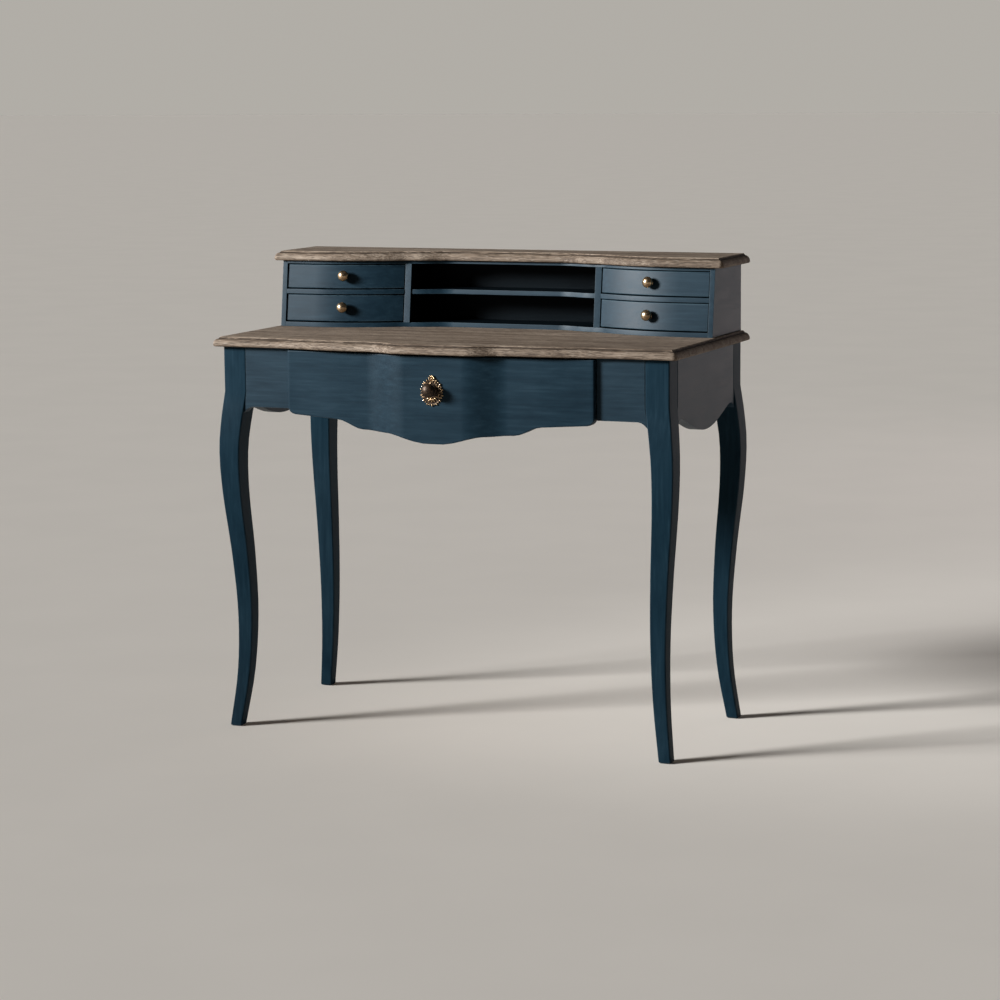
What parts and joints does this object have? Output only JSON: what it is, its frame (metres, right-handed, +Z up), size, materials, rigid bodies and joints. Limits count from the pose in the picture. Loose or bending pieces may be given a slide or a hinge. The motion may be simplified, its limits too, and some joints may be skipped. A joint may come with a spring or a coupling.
{
  "type": "writing desk",
  "caption": "Small French-country writing desk with cabriole legs, a scalloped serpentine apron drawer and a low back gallery of bowed drawers round open pigeonholes.",
  "frame": {"origin": "on the floor under the middle of the desk's overall box", "axes": "+Z up, -Y towards the sitter at the front, +X to the right as seen from the front"},
  "size_m": [0.938, 0.4879, 0.908],
  "materials": {
    "painted_wood": "brushed blue-grey paint, satin",
    "oak": "weathered grey-brown open grain, low sheen",
    "drawer_wood": "plain unpainted softwood",
    "brass": "antiqued, worn bright on the high spots"
  },
  "bodies": {
    "desk": {"leg_front_left": "painted_wood", "leg_front_right": "painted_wood", "leg_back_left": "painted_wood", "leg_back_right": "painted_wood", "apron_left": "painted_wood", "apron_right": "painted_wood", "apron_back": "painted_wood", "front_rail_left": "painted_wood", "front_rail_right": "painted_wood", "drawer_bearer": "drawer_wood", "front_top_rail": "drawer_wood", "drawer_runner_left": "drawer_wood", "drawer_runner_right": "drawer_wood", "drawer_kicker_left": "drawer_wood", "drawer_kicker_right": "drawer_wood", "desk_top": "oak", "gallery_side_left": "painted_wood", "gallery_side_right": "painted_wood", "gallery_back": "painted_wood", "gallery_floor": "painted_wood", "gallery_top_panel": "painted_wood", "gallery_divider_left": "painted_wood", "gallery_divider_right": "painted_wood", "pigeonhole_shelf": "painted_wood", "dust_board_left": "painted_wood", "dust_board_right": "painted_wood", "gallery_top": "oak"},
    "main_drawer": {"main_drawer_front": "painted_wood", "main_drawer_side_left": "drawer_wood", "main_drawer_side_right": "drawer_wood", "main_drawer_back": "drawer_wood", "main_drawer_bottom": "drawer_wood", "pull_plate": "brass", "pull_knob": "brass"},
    "lower_left_drawer": {"lower_left_drawer_front": "painted_wood", "lower_left_drawer_outer_side": "drawer_wood", "lower_left_drawer_inner_side": "drawer_wood", "lower_left_drawer_back": "drawer_wood", "lower_left_drawer_bottom": "drawer_wood", "lower_left_drawer_knob": "brass"},
    "lower_right_drawer": {"lower_right_drawer_front": "painted_wood", "lower_right_drawer_outer_side": "drawer_wood", "lower_right_drawer_inner_side": "drawer_wood", "lower_right_drawer_back": "drawer_wood", "lower_right_drawer_bottom": "drawer_wood", "lower_right_drawer_knob": "brass"},
    "upper_left_drawer": {"upper_left_drawer_front": "painted_wood", "upper_left_drawer_outer_side": "drawer_wood", "upper_left_drawer_inner_side": "drawer_wood", "upper_left_drawer_back": "drawer_wood", "upper_left_drawer_bottom": "drawer_wood", "upper_left_drawer_knob": "brass"},
    "upper_right_drawer": {"upper_right_drawer_front": "painted_wood", "upper_right_drawer_outer_side": "drawer_wood", "upper_right_drawer_inner_side": "drawer_wood", "upper_right_drawer_back": "drawer_wood", "upper_right_drawer_bottom": "drawer_wood", "upper_right_drawer_knob": "brass"}
  },
  "joints": [
    {"name": "main_drawer_slide", "type": "slide", "parent": "desk", "child": "main_drawer", "axis": [0, -1, 0], "range_m": [0, 0.27]},
    {"name": "lower_left_drawer_slide", "type": "slide", "parent": "desk", "child": "lower_left_drawer", "axis": [0, -1, 0], "range_m": [0, 0.085]},
    {"name": "lower_right_drawer_slide", "type": "slide", "parent": "desk", "child": "lower_right_drawer", "axis": [0, -1, 0], "range_m": [0, 0.085]},
    {"name": "upper_left_drawer_slide", "type": "slide", "parent": "desk", "child": "upper_left_drawer", "axis": [0, -1, 0], "range_m": [0, 0.085]},
    {"name": "upper_right_drawer_slide", "type": "slide", "parent": "desk", "child": "upper_right_drawer", "axis": [0, -1, 0], "range_m": [0, 0.085]}
  ]
}
